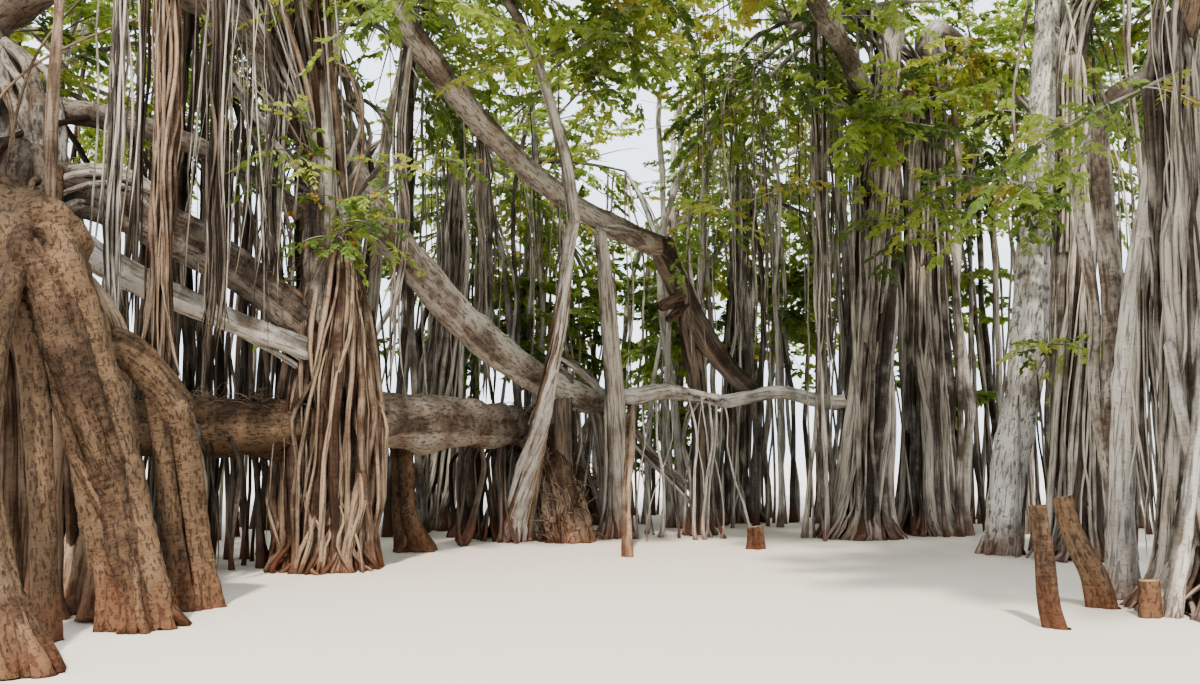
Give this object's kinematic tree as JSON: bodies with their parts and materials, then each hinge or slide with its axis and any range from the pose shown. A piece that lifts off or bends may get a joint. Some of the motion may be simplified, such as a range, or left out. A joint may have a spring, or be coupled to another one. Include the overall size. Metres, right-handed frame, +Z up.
{
  "type": "banyan tree",
  "caption": "Spreading banyan with a fused main trunk, arching boughs propped on fluted pillar roots round an open clearing, and an open crown of foliage masses.",
  "frame": {"origin": "middle of the main trunk's flat foot, at ground level", "axes": "+Z up along the tree's height, +X from the main trunk across the clearing towards the far pillars, +Y away from the viewpoint of the picture"},
  "size_m": [31.7994, 28.6236, 12.8422],
  "materials": {
    "bark_grey": "rough, wrinkled grey bark",
    "bark_brown": "rough warm brown bark stained by red earth near the ground",
    "bark_pale": "smooth pale grey bark",
    "bark_dark": "rough dark bark in shade",
    "leaves": "half-glossy green leaves"
  },
  "bodies": {
    "root": {"main_trunk": "bark_dark", "woven_pillar": "bark_grey", "right_pillar_near": "bark_grey", "right_pillar_far": "bark_grey", "edge_pillar": "bark_grey", "rear_pillar_left": "bark_grey", "rear_pillar_right": "bark_grey", "smooth_trunk": "bark_pale", "side_pillar": "bark_grey", "knee_bough": "bark_brown", "knee_leg": "bark_brown", "arch_root": "bark_brown", "arch_leg": "bark_brown", "inner_leg": "bark_brown", "edge_leg": "bark_brown", "low_bough_near": "bark_brown", "low_bough_far": "bark_grey", "low_bough_heel": "bark_brown", "bough_leg_near": "bark_brown", "bough_leg_far": "bark_dark", "centre_bough_rise": "bark_grey", "centre_bough_fall": "bark_grey", "left_bough_upper": "bark_grey", "left_bough_thin": "bark_grey", "left_prop": "bark_dark", "thick_prop": "bark_dark", "leaning_stem_foot": "bark_pale", "leaning_stem_top": "bark_pale", "woven_stem": "bark_grey", "crooked_bough": "bark_grey", "grey_prop": "bark_pale", "level_bough": "bark_pale", "crooked_drop": "bark_dark", "drop_prop": "bark_dark", "thin_root": "bark_brown", "right_arch_root": "bark_pale", "stump_tall": "bark_brown", "stump_leaning": "bark_brown", "stump_short": "bark_brown", "leader": "bark_grey", "left_bough": "bark_grey", "back_bough": "bark_grey", "front_bough": "bark_grey", "over_bough": "bark_grey", "edge_bough": "bark_brown", "outer_bough": "bark_grey", "foliage_trunk": "leaves", "foliage_left": "leaves", "foliage_left_back": "leaves", "foliage_left_front": "leaves", "foliage_woven": "leaves", "foliage_stem": "leaves", "foliage_back": "leaves", "foliage_back_middle": "leaves", "foliage_clearing": "leaves", "foliage_pillar_near": "leaves", "foliage_pillar_far": "leaves", "foliage_right": "leaves", "foliage_edge": "leaves", "foliage_outer": "leaves"}
  },
  "joints": []
}
